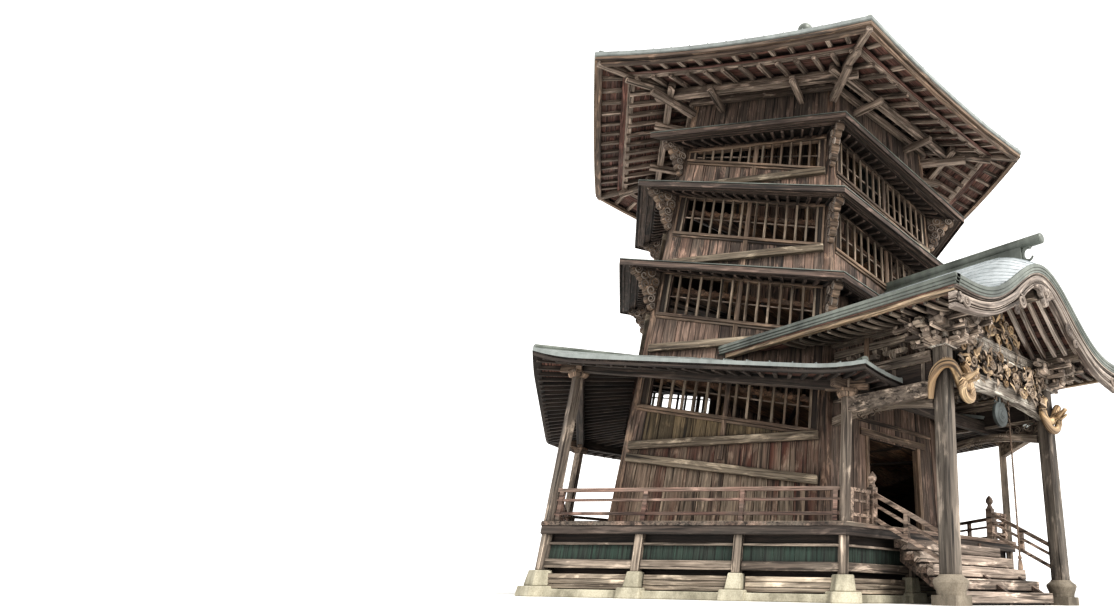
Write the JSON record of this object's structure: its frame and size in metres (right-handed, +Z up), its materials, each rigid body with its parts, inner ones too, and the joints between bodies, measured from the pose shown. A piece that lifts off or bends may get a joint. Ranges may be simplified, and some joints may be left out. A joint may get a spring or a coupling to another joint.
{
  "type": "hexagonal double-ramp wooden pagoda",
  "caption": "Hexagonal wooden pagoda with two ramps winding round a hollow core, sloping eaves, a skirt roof over a veranda and a curved-gable porch.",
  "frame": {"origin": "on the ground, under the tower's centre", "axes": "+Z up, the porch and the front doorway face -Y, +X to the right of someone who faces the porch from behind it"},
  "size_m": [12.48, 12.554, 16.5],
  "materials": {
    "wall_wood": "weathered",
    "dark_wood": "weathered",
    "grey_wood": "weathered",
    "rail_wood": "weathered",
    "ramp_wood": "worn",
    "stone": "rough",
    "roof_metal": "weathered sheet",
    "carved_wood": "satin",
    "bronze": "aged",
    "rope": "braided"
  },
  "bodies": {
    "root": {"bargeboard": "grey_wood", "bell_rope": "rope", "carved_transom": "dark_wood", "column_stone_left": "stone", "column_stone_right": "stone", "core_tube": "dark_wood", "corner_post_1": "grey_wood", "corner_post_2": "grey_wood", "corner_post_3": "grey_wood", "corner_post_4": "grey_wood", "corner_post_5": "grey_wood", "corner_post_6": "grey_wood", "down_eave_lower": "dark_wood", "down_eave_upper": "dark_wood", "down_ramp": "ramp_wood", "dragon_coil_left": "carved_wood", "dragon_coil_right": "carved_wood", "finial": "roof_metal", "gong": "bronze", "main_roof": "roof_metal", "porch_column_left": "grey_wood", "porch_column_right": "grey_wood", "porch_purlin_left": "grey_wood", "porch_purlin_right": "grey_wood", "porch_ridge": "roof_metal", "porch_roof": "roof_metal", "railing_back": "rail_wood", "railing_back_left": "rail_wood", "railing_back_right": "rail_wood", "railing_front_left": "rail_wood", "railing_front_right": "rail_wood", "rainbow_beam": "grey_wood", "shaft_foundation": "stone", "side_beam_left": "grey_wood", "side_beam_right": "grey_wood", "skirt_roof_back": "roof_metal", "skirt_roof_back_left": "roof_metal", "skirt_roof_back_right": "roof_metal", "skirt_roof_front_left": "roof_metal", "skirt_roof_front_right": "roof_metal", "stair_flight": "grey_wood", "stair_railing_left": "rail_wood", "stair_railing_right": "rail_wood", "stone_kerb": "stone", "underfloor_frame": "dark_wood", "up_eave_lower": "dark_wood", "up_eave_upper": "dark_wood", "up_ramp": "ramp_wood", "upper_beam": "grey_wood", "veranda_deck": "wall_wood", "veranda_frame": "grey_wood", "wall_back": "wall_wood", "wall_back_left": "wall_wood", "wall_back_right": "wall_wood", "wall_front": "wall_wood", "wall_front_left": "wall_wood", "wall_front_right": "wall_wood", "wall_plate": "dark_wood"}
  },
  "joints": []
}
